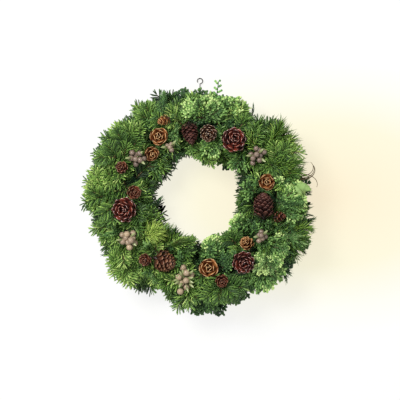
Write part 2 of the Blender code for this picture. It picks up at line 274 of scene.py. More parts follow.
def bladeMaterial(name, looks):
    material, nodes, links, shader = newMaterial(name, looks["roughness"])
    place = nodes.new("ShaderNodeUVMap")
    place.uv_map = "OFBake"
    split = nodes.new("ShaderNodeSeparateXYZ")
    links.new(place.outputs["UV"], split.inputs[0])
    tints = ramp(nodes, looks["tints"])
    links.new(split.outputs["Y"], tints.inputs["Fac"])
    along = ramp(nodes, looks["along"])
    links.new(split.outputs["X"], along.inputs["Fac"])
    mottle = nodes.new("ShaderNodeTexNoise")
    mottle.inputs["Scale"].default_value = looks.get("mottle", mottling["scale"])
    mottle.inputs["Detail"].default_value = mottling["detail"]
    links.new(place.outputs["UV"], mottle.inputs["Vector"])
    patch = ramp(nodes, mottling["shades"])
    links.new(mottle.outputs["Fac"], patch.inputs["Fac"])
    # the along ramp paints shade: each blade darker towards its foot, deep among its neighbours, paler
    # towards its end; on the upright round cores of berries and buds it paints the bottom darker and the top
    # paler
    colour = multiplied(nodes, links, tints.outputs["Color"], along.outputs["Color"])
    colour = multiplied(nodes, links, colour, patch.outputs["Color"])
    if "tip" in looks:
        # a rim of its own colour at the blade's end
        rimFrom, rimFull = looks["tipFrom"], min(0.99, looks["tipFrom"] + 0.12)
        tip = ramp(nodes, [(rimFrom, (0, 0, 0)), (rimFull, (1, 1, 1))])
        links.new(split.outputs["X"], tip.inputs["Fac"])
        node = nodes.new("ShaderNodeMix")
        node.data_type = "RGBA"
        links.new(tip.outputs["Color"], node.inputs["Factor"])
        links.new(colour, node.inputs["A"])
        node.inputs["B"].default_value = (*looks["tip"], 1)
        colour = node.outputs["Result"]
    links.new(colour, shader.inputs["Base Color"])
    shader.inputs["Specular IOR Level"].default_value = looks.get("shine", 0.4)
    return material


# each green: tints run from bare wood (under 0.12) over the darkest blade to the palest, and along runs from
# a blade's foot, darkened as painted shade among its neighbours, to its paler end
bark = (0.13, 0.075, 0.035)
greeneryLooks = {
    "firGreen": {
        "roughness": 0.46,
        "tints": [(0.0, bark), (0.08, (0.10, 0.09, 0.03)), (0.12, (0.010, 0.034, 0.010)),
                  (0.5, (0.068, 0.155, 0.028)), (0.8, (0.19, 0.34, 0.068)), (1.0, (0.44, 0.58, 0.19))],
        "along": [(0.0, (0.40, 0.45, 0.35)), (0.4, (0.9, 0.9, 0.9)), (1.0, (1.6, 1.5, 1.3))],
    },
    "cypressGreen": {
        "roughness": 0.60,
        "tints": [(0.0, bark), (0.08, (0.12, 0.10, 0.04)), (0.12, (0.014, 0.046, 0.016)),
                  (0.5, (0.062, 0.150, 0.030)), (0.8, (0.19, 0.35, 0.088)), (1.0, (0.50, 0.65, 0.25))],
        "along": [(0.0, (0.35, 0.4, 0.35)), (0.5, (0.9, 0.9, 0.9)), (1.0, (1.6, 1.55, 1.35))],
    },
    "juniperGreen": {
        "roughness": 0.56,
        "tints": [(0.0, bark), (0.08, (0.12, 0.10, 0.05)), (0.12, (0.010, 0.042, 0.018)),
                  (0.5, (0.052, 0.145, 0.034)), (0.8, (0.145, 0.31, 0.074)), (1.0, (0.39, 0.59, 0.21))],
        "along": [(0.0, (0.35, 0.4, 0.38)), (0.5, (0.9, 0.9, 0.9)), (1.0, (1.5, 1.5, 1.35))],
    },
    "limeGreen": {
        "roughness": 0.48,
        "tints": [(0.0, bark), (0.08, (0.16, 0.13, 0.04)), (0.12, (0.014, 0.060, 0.010)),
                  (0.5, (0.075, 0.175, 0.022)), (0.8, (0.20, 0.37, 0.050)), (1.0, (0.46, 0.62, 0.14))],
        "along": [(0.0, (0.35, 0.4, 0.3)), (0.5, (0.9, 0.9, 0.85)), (1.0, (1.6, 1.5, 1.2))],
    },
    "broadLeafGreen": {
        "roughness": 0.5, "shine": 0.25, "mottle": 24,
        "tints": [(0.0, bark), (0.12, (0.08, 0.20, 0.05)), (0.6, (0.16, 0.31, 0.085)),
                  (1.0, (0.28, 0.43, 0.14))],
        "along": [(0.0, (0.8, 0.85, 0.7)), (0.5, (1.0, 1.0, 1.0)), (1.0, (1.25, 1.2, 1.1))],
    },
}
greens = {name: bladeMaterial(name, looks) for name, looks in greeneryLooks.items()}
print("greenery materials made")


def twigPath(start, along, length, curl, count):
    # points and directions down a gently bent twig
    share = np.linspace(0.0, 1.0, count)[:, None]
    start, along, curl = np.asarray(start, float), unit(along), np.asarray(curl, float)
    points = start + along * length * share + curl * length * share ** 2
    directions = unit(along + 2 * curl * share)
    return share[:, 0], points, directions


stalkSide = (0.31, 0.22, 0.92)  # a direction that no stalk points along, to set its sides by
tintRange = (0.13, 0.97)  # blades keep within these tints, because the bark's lies below them
woodSticks = 6  # sticks in a twig's bare wood


def addTwig(growth, points, width, tint=0.03):
    # the bare wood: short sticks, end to end, that overlap a little and thin to half
    steps = points[1:] - points[:-1]
    lengths = np.linalg.norm(steps, axis=1)
    widths = np.linspace(width, width * 0.5, len(steps))
    growth.add("stick", points[:-1], steps, stalkSide, lengths * 1.12, widths, widths, tint)


def leafyTwig(growth, looks, start, along, face, length):
    # a bent stem with its bare wood: how far along each point is, the points, the directions there,
    # and the twig's own upwards and sideways
    curl = unit(np.asarray(face) + chance.normal(0, looks["sway"], 3)) * chance.uniform(*looks["curl"])
    count = max(looks["fewest"], int(length / looks["apart"]))
    share, points, directions = twigPath(start, along, length, curl, count)
    addTwig(growth, points[:: max(1, count // woodSticks)], looks["wood"])
    face = unit(np.asarray(face, float))
    return share, points, directions, face, unit(np.cross(directions, face))


def needleAim(directions, out, spread):
    # needles lean from the twig's own direction outwards by their spread
    return directions * np.cos(spread)[:, None] + out * np.sin(spread)[:, None]


def changing(share, stops):
    # a measure that changes down a twig, from its stops: how far along, how much
    return np.interp(share, *zip(*stops))


# needles lie flat on both sides of a fir twig, with a few above: rows are angles round the twig and
# how much they vary, spread is how far needles lean out, and taper how long they are against the longest
firLooks = {
    "needle": 0.021, "wide": 0.0024, "thick": 0.0020, "apart": 0.0025, "fewest": 8,
    "wood": 0.0021, "sway": 0.8, "curl": (-0.12, 0.12),
    "rows": ((0.0, 0.16), (math.pi, 0.16), (0.35, 0.16), (math.pi - 0.35, 0.16), (math.pi / 2, 0.6)),
    "fullRows": 2, "upperNeedles": 0.8, "spread": ((0, 1.05), (0.85, 0.85), (1, 0.35)), "spreadSway": 0.08,
    "taper": ((0, 0.75), (0.2, 1.0), (0.8, 0.95), (1, 0.7)), "sizes": (0.85, 1.1), "bendSway": 0.06,
    "tintSpread": 0.15, "paleEnd": 0.12,
    "branches": 2, "branchAt": (0.2, 0.7), "branchTurn": (0.6, 0.9), "branchLong": (0.4, 0.6),
    "branchNeedle": 0.92, "branchPaler": 0.05,
}


def firTwig(growth, start, along, face, length, needle=firLooks["needle"], tint=0.5,
            branches=firLooks["branches"]):
    looks = firLooks
    share, points, directions, face, side = leafyTwig(growth, looks, start, along, face, length)
    count = len(points)
    for row, (around, sway) in enumerate(looks["rows"]):
        full = row < looks["fullRows"]
        keep = np.arange(count) if full else np.arange(row, count, 2)
        size = len(keep)
        turn = around + chance.normal(0, sway, size)
        spread = changing(share[keep], looks["spread"]) + chance.normal(0, looks["spreadSway"], size)
        out = side[keep] * np.cos(turn)[:, None] + face * np.sin(turn)[:, None]
        aim = needleAim(directions[keep], out, spread)
        lengths = needle * changing(share[keep], looks["taper"])
        lengths = lengths * chance.uniform(*looks["sizes"], size) * (1 if full else looks["upperNeedles"])
        varied = chance.normal(0, looks["tintSpread"], size)
        shade = np.clip(tint + looks["paleEnd"] * share[keep] + varied, *tintRange)
        bend = chance.normal(0, looks["bendSway"], size)
        growth.add("firNeedle", points[keep], aim, face + out * 0.3, lengths,
                   looks["wide"], looks["thick"], shade, bend)
    for branch in range(branches):
        at = int(count * chance.uniform(*looks["branchAt"]))
        turn = chance.choice([-1, 1]) * chance.uniform(*looks["branchTurn"])
        aim = directions[at] * math.cos(turn) + side[at] * math.sin(turn)
        reach = length * chance.uniform(*looks["branchLong"])
        paler = tint + looks["branchPaler"]
        firTwig(growth, points[at], aim, face, reach, needle * looks["branchNeedle"], paler, 0)


# fine needles all round the twig, swept forward
longNeedleLooks = {
    "needle": 0.027, "wide": 0.0015, "apart": 0.0007, "fewest": 24,
    "wood": 0.0022, "sway": 0.8, "curl": (-0.15, 0.15), "turnSway": 0.2,
    "spread": ((0, 0.95), (0.8, 0.7), (1, 0.2)), "spreadSway": 0.12,
    "taper": ((0, 0.8), (0.3, 1.0), (1, 0.8)), "sizes": (0.75, 1.1), "bendSway": 0.1, "tintSpread": 0.17,
}


def longNeedleTwig(growth, start, along, face, length, tint=0.6):
    looks = longNeedleLooks
    share, points, directions, face, side = leafyTwig(growth, looks, start, along, face, length)
    count = len(points)
    turn = np.arange(count) * goldenAngle + chance.normal(0, looks["turnSway"], count)
    out = side * np.cos(turn)[:, None] + face * np.sin(turn)[:, None]
    spread = changing(share, looks["spread"]) + chance.normal(0, looks["spreadSway"], count)
    aim = needleAim(directions, out, spread)
    lengths = looks["needle"] * chance.uniform(*looks["sizes"], count) * changing(share, looks["taper"])
    shade = np.clip(tint + chance.normal(0, looks["tintSpread"], count), *tintRange)
    bend = chance.normal(0, looks["bendSway"], count)
    growth.add("longNeedle", points, aim, np.cross(aim, out) + 0.01, lengths,
               looks["wide"], looks["wide"], shade, bend)


# short spines all round the twig, and short side twigs with the same
juniperLooks = {
    "spine": 0.0085, "wide": 0.0020, "thick": 0.0017, "apart": 0.0009, "fewest": 12,
    "wood": 0.0019, "sway": 0.8, "curl": (-0.25, 0.25),
    "spread": ((0, 0.8), (0.8, 0.6), (1, 0.2)), "spreadSway": 0.1, "sizes": (0.8, 1.1), "bend": (-0.05, 0.08),
    "tintSpread": 0.12, "darkFoot": 0.18, "paleEnd": 0.4,
    "branches": 5, "branchAt": (0.15, 0.85), "branchTurn": (0.5, 0.95), "branchLong": (0.3, 0.5),
    "branchPaler": 0.08,
}


def juniperTwig(growth, start, along, face, length, tint=0.55, branches=juniperLooks["branches"]):
    looks = juniperLooks
    share, points, directions, face, side = leafyTwig(growth, looks, start, along, face, length)
    count = len(points)
    turn = np.arange(count) * goldenAngle
    out = side * np.cos(turn)[:, None] + face * np.sin(turn)[:, None]
    spread = changing(share, looks["spread"]) + chance.normal(0, looks["spreadSway"], count)
    aim = needleAim(directions, out, spread)
    lengths = looks["spine"] * chance.uniform(*looks["sizes"], count)
    varied = chance.normal(0, looks["tintSpread"], count)
    shade = np.clip(tint - looks["darkFoot"] + looks["paleEnd"] * share + varied, *tintRange)
    growth.add("spine", points, aim, out, lengths, looks["wide"], looks["thick"], shade,
               chance.normal(*looks["bend"], count))
    for branch in range(branches):
        at = int(count * chance.uniform(*looks["branchAt"]))
        turned = chance.uniform(*looks["branchTurn"])
        aim = directions[at] * math.cos(turned) + unit(out[at] + face * 0.3) * math.sin(turned)
        reach = length * chance.uniform(*looks["branchLong"])
        juniperTwig(growth, points[at], aim, face, reach, tint + looks["branchPaler"], 0)


# a flat spray: side branchlets either side of a stem, each with rows of rounded fingers of tiny scales
cypressLooks = {
    "apart": 0.0040, "fewest": 9, "wood": 0.0019, "sway": 0.5, "curl": (-0.28, 0.1),
    "branchlet": 0.42, "shortest": 0.006, "lean": 0.85, "leanFalls": 0.4, "leanSway": 0.08, "liftSway": 0.14,
    "droop": (-0.12, 0.1), "overlap": 1.9, "stemWide": 0.0040, "stemThick": 0.0030,
    "fingersApart": 0.0044, "finger": 0.0104, "wide": 0.0042, "thick": 0.0032, "fingersLean": 0.75,
    "fingerSway": 0.12, "fingerLift": (0.05, 0.2), "taper": ((0, 0.7), (0.5, 1.0), (1, 0.55)),
    "sizes": (0.7, 1.15), "tintSpread": 0.08, "darkFoot": 0.15, "paleEnd": 0.35, "paler": 0.1,
}


def cypressSpray(growth, start, along, face, length, tint=0.5):
    looks = cypressLooks
    share, points, directions, face, side = leafyTwig(growth, looks, start, along, face, length)
    for index in range(1, len(points)):
        hand = 1 if index % 2 else -1
        room = length * looks["branchlet"] * (1 - share[index]) ** 0.8 + looks["shortest"]
        bend = looks["lean"] - looks["leanFalls"] * share[index] + chance.normal(0, looks["leanSway"])
        aim = directions[index] * math.cos(bend) + side[index] * hand * math.sin(bend)
        aim = unit(aim + face * chance.normal(0, looks["liftSway"]))
        pieces = max(2, int(room / looks["fingersApart"]))
        drooping = face * chance.normal(*looks["droop"])
        part, joints, ways = twigPath(points[index], aim, room, drooping, pieces)
        varied = chance.normal(0, looks["tintSpread"], pieces)
        shade = np.clip(tint - looks["darkFoot"] + looks["paleEnd"] * part + varied, *tintRange)
        growth.add("finger", joints, ways, face, room / pieces * looks["overlap"],
                   looks["stemWide"], looks["stemThick"], shade, 0.05)
        across = unit(np.cross(ways, face))
        for way in (-1, 1):
            turn = looks["fingersLean"] + chance.normal(0, looks["fingerSway"], pieces)
            out = ways * np.cos(turn)[:, None] + across * way * np.sin(turn)[:, None]
            out = out + face * chance.normal(*looks["fingerLift"], pieces)[:, None]
            reach = looks["finger"] * changing(part, looks["taper"]) * chance.uniform(*looks["sizes"], pieces)
            paler = np.clip(shade + looks["paler"], *tintRange)
            growth.add("finger", joints, out, face, reach, looks["wide"], looks["thick"], paler, 0.2)


# a stiff twig with short side shoots, each set with round buds
knobbedLooks = {
    "joints": 12, "curl": 0.06, "wood": 0.0030, "woodTint": 0.20,
    "shoot": (0.10, 0.17), "shootWide": 0.0022, "shootTint": 0.25, "forward": 0.8, "liftSway": 0.3,
    "budsAt": (0.35, 0.7, 1.0), "budHigh": 0.0036, "budWide": 0.0038,
    "tintSpread": 0.12, "tints": (0.2, 0.97),
}


def knobbedTwig(growth, start, along, face, length, tint=0.5):
    looks = knobbedLooks
    face = np.asarray(face, float)
    share, points, directions = twigPath(start, along, length, face * looks["curl"], looks["joints"])
    addTwig(growth, points, looks["wood"], looks["woodTint"])
    side = unit(np.cross(directions, face))
    for index in range(2, looks["joints"]):
        hand = 1 if index % 2 else -1
        lifted = face * chance.normal(0, looks["liftSway"])
        aim = unit(directions[index] * looks["forward"] + side[index] * hand + lifted)
        shoot, thin = length * chance.uniform(*looks["shoot"]), looks["shootWide"]
        varied = chance.normal(0, looks["tintSpread"], len(looks["budsAt"]))
        shade = np.clip(tint + varied, *looks["tints"])
        growth.add("stick", points[index], aim, face, shoot, thin, thin, looks["shootTint"])
        buds = points[index] + aim * shoot * np.array(looks["budsAt"])[:, None]
        growth.add("ball", buds - upright * looks["budHigh"] / 2, upright, (1, 0, 0),
                   looks["budHigh"], looks["budWide"], looks["budWide"], shade)


# dry brown stalks, each bending over into a loose curl
tendrilLooks = {
    "stalks": 5, "sticks": 16, "straight": 0.02, "curl": (0.2, 0.34), "lift": (0.05, 0.12),
    "apart": 0.004, "sticksPerLength": 13, "wide": 0.0018,
}


def curledTendrils(growth, start, along, face, length, tint=0.03):
    looks = tendrilLooks
    side = np.asarray(Vector(along).cross(Vector(face)).normalized())
    for number in range(looks["stalks"]):
        turn = np.cumsum(np.linspace(looks["straight"], chance.uniform(*looks["curl"]), looks["sticks"]))
        turn = turn * chance.choice([-1, 1])
        ways = np.outer(np.cos(turn), unit(along)) + np.outer(np.sin(turn), side)
        ways = ways + unit(face) * chance.normal(*looks["lift"])
        root = np.asarray(start) + side * chance.normal(0, looks["apart"])
        points = root + np.cumsum(ways, axis=0) * length / looks["sticksPerLength"]
        addTwig(growth, np.vstack([root, points]), looks["wide"], tint)


# two overlapping leaves on short stalks: how far each sways aside and how long it is
leafLooks = {
    "leaves": ((0.0, 1.0), (0.55, 0.7)), "stalk": 0.0018, "stalkLong": 0.3, "stalkTint": 0.2,
    "bladeFrom": 0.25, "broad": 0.56, "thick": 0.5, "droop": -0.16,
}


def broadLeaf(growth, start, along, face, length, tint=0.7):
    looks = leafLooks
    side = np.asarray(Vector(along).cross(Vector(face)).normalized())
    for sway, share in looks["leaves"]:
        aim = unit(np.asarray(along) + side * sway)
        thin, reach = looks["stalk"], length * share
        growth.add("stick", start, aim, face, length * looks["stalkLong"], thin, thin, looks["stalkTint"])
        blade = np.asarray(start) + aim * length * looks["bladeFrom"]
        broad, thick = looks["broad"] * reach, length * looks["thick"]
        growth.add("leaf", blade, aim, face, reach, broad, thick, tint, looks["droop"])


growers = {
    "fir": (firTwig, "firGreen"),
    "long": (longNeedleTwig, "limeGreen"),
    "juniper": (juniperTwig, "juniperGreen"),
    "cypress": (cypressSpray, "cypressGreen"),
    "lime": (longNeedleTwig, "limeGreen"),
    "knobbed": (knobbedTwig, "juniperGreen"),
    "tendrils": (curledTendrils, "firGreen"),
    "leaf": (broadLeaf, "broadLeafGreen"),
}

# which greenery grows where: angles round the ring, counted from +X towards +Y, with the two kinds
# that share a bunch there, how often the first is taken, and how light it is
greeneryZones = {
    "outer": [
        (14, "juniper", "cypress", 0.6, 0.42), (48, "long", "fir", 0.75, 0.52),
        (70, "juniper", "fir", 0.6, 0.54), (96, "cypress", "juniper", 0.6, 0.51),
        (150, "fir", "juniper", 0.8, 0.52), (205, "fir", "fir", 0.9, 0.54),
        (240, "fir", "juniper", 0.7, 0.60), (262, "fir", "cypress", 0.6, 0.44),
        (288, "cypress", "fir", 0.6, 0.37),
        (330, "juniper", "cypress", 0.55, 0.40), (352, "long", "juniper", 0.6, 0.48),
        (360, "juniper", "cypress", 0.6, 0.44),
    ],
    "inner": [
        (40, "fir", "juniper", 0.6, 0.38), (100, "cypress", "fir", 0.5, 0.42),
        (200, "fir", "juniper", 0.75, 0.38), (235, "long", "fir", 0.6, 0.50),
        (290, "fir", "juniper", 0.7, 0.40), (335, "cypress", "fir", 0.6, 0.42),
        (360, "fir", "cypress", 0.7, 0.38),
    ],
}

# sprigs that stand out: where (angle, radius and height in millimetres), which kind, which way they
# point (degrees from straight outwards, and rise), how long, how many, how far they fan out, how light
accentFields = ("at", "kind", "turn", "rise", "length", "count", "fan", "tint")
accents = [dict(zip(accentFields, values)) for values in (
    ((358, 136, 58), "cypress", 0, 22, 32, 5, 100, 0.76),
    ((323, 128, 55), "cypress", 0, 24, 36, 6, 110, 0.69),
    ((311, 150, 50), "cypress", 0, 24, 32, 4, 70, 0.68),
    ((88, 134, 56), "cypress", 0, 26, 30, 6, 130, 0.66),
    ((72, 144, 52), "cypress", -10, 20, 28, 4, 60, 0.71),
    ((286, 92, 48), "cypress", 180, 20, 24, 3, 80, 0.74),
    ((328, 92, 50), "cypress", 180, 20, 24, 3, 80, 0.74),
    ((214, 108, 60), "lime", 170, 34, 25, 5, 80, 1.02),
    ((172, 150, 48), "fir", 0, 30, 32, 5, 90, 0.70),
    ((142, 150, 48), "fir", 0, 30, 32, 4, 80, 0.66),
    ((222, 150, 48), "fir", 0, 28, 32, 5, 90, 0.70),
    ((36, 150, 52), "long", 0, 24, 32, 4, 90, 0.70),
    ((338, 152, 50), "long", 0, 22, 32, 4, 90, 0.68),
    ((80.6, 146, 62), "knobbed", 2, 2, 49, 1, 0, 0.62),
    ((4, 126, 50), "cypress", 20, 38, 20, 4, 160, 0.64),
    ((13, 168, 60), "tendrils", -12, 4, 32, 1, 0, 0.03),
    ((11, 154, 72), "leaf", -35, 4, 27, 1, 0, 0.95),
)]


accentSway = {"apart": 6, "rise": 8, "tilt": 0.3}  # degrees round the ring, degrees of rise, and the face

# how far the greenery reaches, as angle and radius in millimetres: the ragged outline and the hole
reaches = {
    "outer": [
        (0, 177), (12, 177), (20, 183), (30, 190), (48, 182), (55, 167), (62, 178), (68, 171),
        (74, 174), (80, 165), (84, 170), (90, 188), (97, 183), (103, 174), (110, 190), (121, 182),
        (135, 187), (155, 194), (161, 184), (172, 189), (190, 191), (199, 174), (208, 181), (217, 175),
        (225, 187), (240, 168), (248, 168), (256, 184), (270, 189), (285, 182), (298, 178), (307, 173),
        (316, 177), (330, 191), (338, 198), (346, 190), (353, 188),
    ],
    "inner": [
        (0, 57), (7, 66), (20, 68), (33, 79), (45, 74), (60, 65), (74, 59), (84, 70), (100, 75),
        (120, 71), (135, 74), (143, 61), (151, 65), (160, 87), (169, 66), (180, 85), (194, 64),
        (210, 66), (230, 64), (243, 59), (255, 70), (266, 74), (272, 82), (286, 82), (297, 68),
        (303, 67), (314, 78), (330, 75), (342, 77), (351, 74), (356, 60),
    ],
}


def reachAt(degrees, ring):
    angles, radii = zip(*reaches[ring])
    return float(np.interp(degrees % 360, angles, radii, period=360))


def kindAt(degrees, ring):
    for limit, first, second, often, tint in greeneryZones[ring]:
        if degrees % 360 < limit:
            return (first if chance.random() < often else second), tint
    return "fir", 0.45


# each row's sprigs: how many, the radius and the height they start at (millimetres), how far they
# fan out and rise (degrees), and how far short of the outline they end (millimetres)
rowFields = ("sprigs", "start", "high", "fan", "rise", "short")
rowLooks = {row: dict(zip(rowFields, values)) for row, values in {
    "outer_low": (19, (118, 138), (8, 37), 40, (-14, 14), (-3, 22)),
    "outer_high": (17, (116, 136), (40, 50), 55, (-4, 42), (3, 32)),
    "inner": (15, (98, 112), (16, 44), 42, (-35, 45), (-2, 12)),
}.items()}
sprigLooks = {
    "shortest": 0.014, "longest": 0.066, "tintSpread": 0.14, "darker": 0.16, "tints": (0.14, 0.92),
    "wander": 1.5, "leaning": 0.75, "needleRoom": 0.012, "scaleRoom": 0.004,
    "outerTilt": 0.35, "innerTilt": 0.9, "faceSway": 0.25, "steepest": 0.45,
}
# the sprigs on top of the foam that point every way between the cones
crestLooks = {
    "sprigs": 13, "start": (104, 136), "high": (43, 50), "rise": (8, 40), "length": (26, 46),
    "innerTo": 114, "wander": 2, "firLength": 0.8, "faceSway": 0.3,
}


def growSprig(growths, kind, start, along, face, length, tint):
    grower, green = growers[kind]
    if kind != "tendrils":
        darkest, palest = sprigLooks["tints"]
        varied = tint - sprigLooks["darker"] + chance.normal(0, sprigLooks["tintSpread"])
        tint = min(palest, max(darkest, varied))
    length = max(sprigLooks["shortest"], length)
    grower(growths.setdefault(green, Growth()), start, along, face, length, tint=tint)


def risingWay(outward, degrees, aside, rise):
    # turned aside from outwards, in the ring's plane, and then raised
    flat = outward * math.cos(aside) + sidewaysAt(degrees) * math.sin(aside)
    return flat * math.cos(rise) + Vector((0, 0, math.sin(rise)))


def bunchSprigs(growths, row, angle, width):
    looks = rowLooks[row]
    ring = "inner" if row == "inner" else "outer"
    for number in range(looks["sprigs"]):
        share = number / (looks["sprigs"] - 1) - 0.5
        here = angle + share * width + chance.normal(0, sprigLooks["wander"])
        kind, tint = kindAt(here, ring)
        start = onRing(here, chance.uniform(*looks["start"]) / 1000, chance.uniform(*looks["high"]) / 1000)
        lean = math.radians(chance.uniform(-looks["fan"], looks["fan"]) * sprigLooks["leaning"])
        rise = math.radians(chance.uniform(*looks["rise"]))
        outward = outwardAt(here) * (-1 if ring == "inner" else 1)
        along = risingWay(outward, here, lean, rise)
        radius = (start - ringMiddle).xy.length
        short = chance.uniform(*looks["short"]) * (-1 if ring == "inner" else 1)
        room = abs((reachAt(here, ring) - short) / 1000 - radius)
        tipRoom = sprigLooks["needleRoom" if kind in ("fir", "long") else "scaleRoom"]
        length = room / max(sprigLooks["steepest"], math.cos(lean) * math.cos(rise)) - tipRoom
        length = min(sprigLooks["longest"], length)
        tilt = sprigLooks[ring + "Tilt"]
        face = Vector((0, 0, 1)) + outward * tilt + Vector(chance.normal(0, sprigLooks["faceSway"], 3))
        growSprig(growths, kind, start, along, face, length, tint)


def crestSprigs(growths, angle, width):
    for number in range(crestLooks["sprigs"]):
        share = number / (crestLooks["sprigs"] - 1) - 0.5
        here = angle + share * width + chance.normal(0, crestLooks["wander"])
        radius = chance.uniform(*crestLooks["start"])
        kind, tint = kindAt(here, "inner" if radius < crestLooks["innerTo"] else "outer")
        start = onRing(here, radius / 1000, chance.uniform(*crestLooks["high"]) / 1000)
        heading = chance.uniform(0, 2 * math.pi)
        rise = math.radians(chance.uniform(*crestLooks["rise"]))
        along = risingWay(outwardAt(here), here, heading, rise)
        length = chance.uniform(*crestLooks["length"]) / 1000
        if kind == "fir":
            length *= crestLooks["firLength"]
        face = Vector((0, 0, 1)) + Vector(chance.normal(0, crestLooks["faceSway"], 3))
        growSprig(growths, kind, start, along, face, length, tint)


def accentSprigs(growths, angle, width):
    # the sprigs that stand out belong to the high bunch they stand in
    for accent in accents:
        degrees, radius, height = accent["at"]
        if abs((degrees - angle + 180) % 360 - 180) > width / 2:
            continue
        for number in range(accent["count"]):
            share = (number + 0.5) / accent["count"] - 0.5
            turn = math.radians(accent["turn"] + share * accent["fan"])
            swayed = chance.uniform(-accentSway["rise"], accentSway["rise"]) if accent["fan"] else 0
            rise = math.radians(accent["rise"] + swayed)
            start = onRing(degrees + share * accentSway["apart"], radius / 1000, height / 1000)
            flat = outwardAt(degrees) * math.cos(turn) + sidewaysAt(degrees) * math.sin(turn)
            along = flat * math.cos(rise) + Vector((0, 0, math.sin(rise)))
            face = Vector((0, 0, 1)) + flat * accentSway["tilt"]
            growSprig(growths, accent["kind"], start, along, face, accent["length"] / 1000, accent["tint"])


# how each cone looks: its kind, and how its axis leans from upright and which way, as the CAD's does
coneFacing = {
    "cone_rose_left": ("rose", 0, 0), "cone_rose_far_left": ("rose", 25, 180),
    "cone_golden_rimmed": ("golden", 90, 90), "cone_small_left": ("small", 20, 0),
    "cone_red_left": ("small", 20, 180), "cone_open_left": ("open", 12, 0),
    "cone_small_bottom_left": ("small", 25, 0), "cone_lying_bottom_left": ("lying", 90, 100),
    "cone_rose_bottom": ("rose", 0, 0), "cone_small_bottom": ("small", 25, 0),
    "cone_open_bottom_right": ("open", 10, 0), "cone_golden_scaled": ("golden", 40, 180),
    "cone_small_right": ("small", 80, 20), "cone_dark_right": ("dark", 90, 95),
    "cone_rose_right": ("rose", 10, 0), "cone_open_top_right": ("open", 10, 0),
    "cone_frosted_top": ("frosted", 20, 180), "cone_dark_top": ("dark", 85, 180),
}

# scales: how many, how long and broad against the cone's width, how far they open at foot and tip,
# how their length runs from foot to tip, and how much they curl
coneFields = ("scales", "long", "broad", "open", "swell", "curl")
coneKinds = {kind: dict(zip(coneFields, values)) for kind, values in {
    "open": (38, 0.50, 0.34, (84, 26), (0.72, 1.0, 0.8, 0.36), 0.16),
    "rose": (20, 0.52, 0.62, (80, 18), (0.8, 1.0, 0.78, 0.40), 0.20),
    "small": (30, 0.48, 0.42, (76, 18), (0.72, 1.0, 0.8, 0.36), 0.10),
    "dark": (96, 0.40, 0.30, (58, 14), (0.80, 1.0, 0.92, 0.50), 0.02),
    "lying": (84, 0.40, 0.30, (62, 18), (0.85, 1.0, 0.90, 0.50), 0.04),
    "golden": (34, 0.48, 0.44, (66, 18), (0.75, 1.0, 0.85, 0.40), 0.08),
    "frosted": (44, 0.46, 0.32, (78, 24), (0.75, 1.0, 0.85, 0.40), 0.12),
}.items()}
# each wood's along ramp is painted shade: a scale darker towards its foot, deep in the cone, paler at its end
coneLooks = {
    "openConeWood": {
        "roughness": 0.27, "shine": 1.0, "tip": (0.30, 0.12, 0.075), "tipFrom": 0.91,
        "tints": [(0.0, (0.022, 0.005, 0.004)), (0.5, (0.085, 0.013, 0.009)), (1.0, (0.20, 0.034, 0.017))],
        "along": [(0.0, (0.15, 0.15, 0.15)), (0.5, (0.5, 0.45, 0.45)), (0.8, (1.1, 1.05, 1.0)),
                  (1.0, (1.6, 1.6, 1.5))],
    },
    "smallConeWood": {
        "roughness": 0.34, "shine": 0.55, "tip": (0.30, 0.14, 0.07), "tipFrom": 0.87,
        "tints": [(0.0, (0.040, 0.010, 0.007)), (0.5, (0.105, 0.025, 0.014)), (1.0, (0.20, 0.058, 0.026))],
        "along": [(0.0, (0.25, 0.25, 0.25)), (0.6, (0.8, 0.75, 0.75)), (1.0, (1.4, 1.4, 1.3))],
    },
    "roseConeWood": {
        "roughness": 0.42, "shine": 0.45, "tip": (0.74, 0.47, 0.21), "tipFrom": 0.88,
        "tints": [(0.0, (0.085, 0.022, 0.007)), (0.5, (0.20, 0.060, 0.016)), (1.0, (0.34, 0.13, 0.036))],
        "along": [(0.0, (0.22, 0.20, 0.18)), (0.6, (0.85, 0.82, 0.8)), (1.0, (1.4, 1.35, 1.25))],
    },
    "darkConeWood": {
        "roughness": 0.48, "shine": 0.35, "tip": (0.17, 0.075, 0.050), "tipFrom": 0.92,
        "tints": [(0.0, (0.020, 0.006, 0.005)), (0.5, (0.045, 0.013, 0.010)), (1.0, (0.090, 0.030, 0.020))],
        "along": [(0.0, (0.25, 0.25, 0.25)), (0.6, (0.8, 0.8, 0.8)), (1.0, (1.6, 1.5, 1.5))],
    },
    "lyingConeWood": {
        "roughness": 0.40, "shine": 0.5, "tip": (0.42, 0.22, 0.11), "tipFrom": 0.91,
        "tints": [(0.0, (0.034, 0.011, 0.006)), (0.5, (0.085, 0.026, 0.013)), (1.0, (0.18, 0.070, 0.034))],
        "along": [(0.0, (0.22, 0.22, 0.22)), (0.6, (0.7, 0.7, 0.7)), (1.0, (1.5, 1.5, 1.4))],
    },
    "goldenConeWood": {
        "roughness": 0.38, "shine": 0.5, "tip": (0.66, 0.38, 0.15), "tipFrom": 0.85,
        "tints": [(0.0, (0.10, 0.030, 0.011)), (0.5, (0.26, 0.085, 0.026)), (1.0, (0.42, 0.18, 0.06))],
        "along": [(0.0, (0.25, 0.2, 0.2)), (0.6, (0.85, 0.8, 0.75)), (1.0, (1.3, 1.3, 1.2))],
    },
    # the frosted cone's pale scale tips are painted highlights on its dark brown scales
    "frostedConeWood": {
        "roughness": 0.30, "shine": 0.8, "tip": (0.58, 0.42, 0.27), "tipFrom": 0.93,
        "tints": [(0.0, (0.020, 0.006, 0.003)), (0.5, (0.056, 0.018, 0.008)), (1.0, (0.15, 0.058, 0.026))],
        "along": [(0.0, (0.25, 0.25, 0.25)), (0.6, (0.75, 0.7, 0.7)), (1.0, (1.6, 1.6, 1.5))],
    },
}
woodMottle = 60
woods = {name: bladeMaterial(name, {"mottle": woodMottle, **looks}) for name, looks in coneLooks.items()}
decorations = []  # what the greenery keeps clear of: middle, radius


